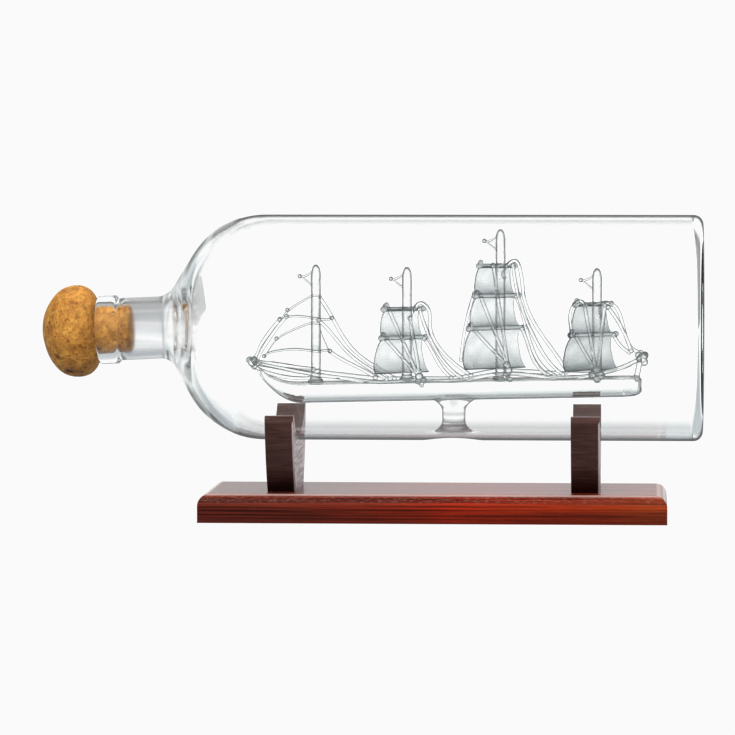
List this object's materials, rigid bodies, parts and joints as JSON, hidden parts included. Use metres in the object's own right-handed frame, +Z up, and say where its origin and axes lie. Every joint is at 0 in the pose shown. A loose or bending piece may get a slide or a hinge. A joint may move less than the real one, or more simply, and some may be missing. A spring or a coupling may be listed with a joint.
{
  "type": "ship in a bottle",
  "caption": "Clear glass sailing ship on a glass post inside a corked glass bottle that lies across two dark wooden cradles on a moulded reddish base board.",
  "frame": {"origin": "centre of the base board's underside", "axes": "+X along the bottle towards its closed end, with the neck and the ship's bow at -X; -Y is the front; +Z up"},
  "size_m": [0.2789, 0.095, 0.1275],
  "materials": {
    "mahogany_base": "glossy varnished mahogany",
    "walnut_cradle": "satin dark walnut stain",
    "screw_steel": "zinc plated steel",
    "bottle_glass": "polished clear borosilicate glass",
    "ship_glass": "flame-polished clear glass",
    "frosted_glass": "faintly clouded glass",
    "cork": "natural agglomerated cork"
  },
  "bodies": {
    "stand": {"base_board": "mahogany_base", "neck_end_cradle": "walnut_cradle", "closed_end_cradle": "walnut_cradle", "cradle_screws": "screw_steel"},
    "bottle": {"glass_bottle": "bottle_glass", "bow_bead": "ship_glass", "bowsprit": "ship_glass", "fore_backstays": "ship_glass", "fore_lower_sail": "ship_glass", "fore_mast": "ship_glass", "fore_pennant": "ship_glass", "fore_upper_sail": "ship_glass", "forestays": "ship_glass", "hull": "ship_glass", "jigger_backstays": "ship_glass", "jigger_deck_knot": "ship_glass", "jigger_leech_rod": "ship_glass", "jigger_lower_sail": "frosted_glass", "jigger_lower_yard": "frosted_glass", "jigger_mast": "ship_glass", "jigger_pennant": "ship_glass", "jigger_shrouds": "ship_glass", "jigger_upper_sail": "frosted_glass", "jigger_upper_yard": "frosted_glass", "main_backstays": "ship_glass", "main_deck_knot": "ship_glass", "main_lower_sail": "frosted_glass", "main_lower_yard": "frosted_glass", "main_mast": "ship_glass", "main_pennant": "ship_glass", "main_shrouds": "ship_glass", "main_upper_sail": "frosted_glass", "main_upper_yard": "frosted_glass", "mizzen_backstays": "ship_glass", "mizzen_deck_knot": "ship_glass", "mizzen_leech_rod": "ship_glass", "mizzen_lower_sail": "frosted_glass", "mizzen_lower_yard": "frosted_glass", "mizzen_mast": "ship_glass", "mizzen_middle_sail": "frosted_glass", "mizzen_middle_yard": "frosted_glass", "mizzen_pennant": "ship_glass", "mizzen_shrouds": "ship_glass", "mizzen_upper_sail": "frosted_glass", "mizzen_upper_yard": "frosted_glass", "pedestal_post": "ship_glass", "port_deck_rail": "ship_glass", "starboard_deck_rail": "ship_glass", "stern_bead": "ship_glass"},
    "stopper": {"cork_stopper": "cork"}
  },
  "joints": [
    {"name": "bottle_lift", "type": "slide", "parent": "stand", "child": "bottle", "axis": [0, 0, 1], "range_m": [0, 0.11]},
    {"name": "stopper_pull", "type": "slide", "parent": "bottle", "child": "stopper", "axis": [-0.999, 0, -0.0454], "range_m": [0, 0.045]}
  ]
}
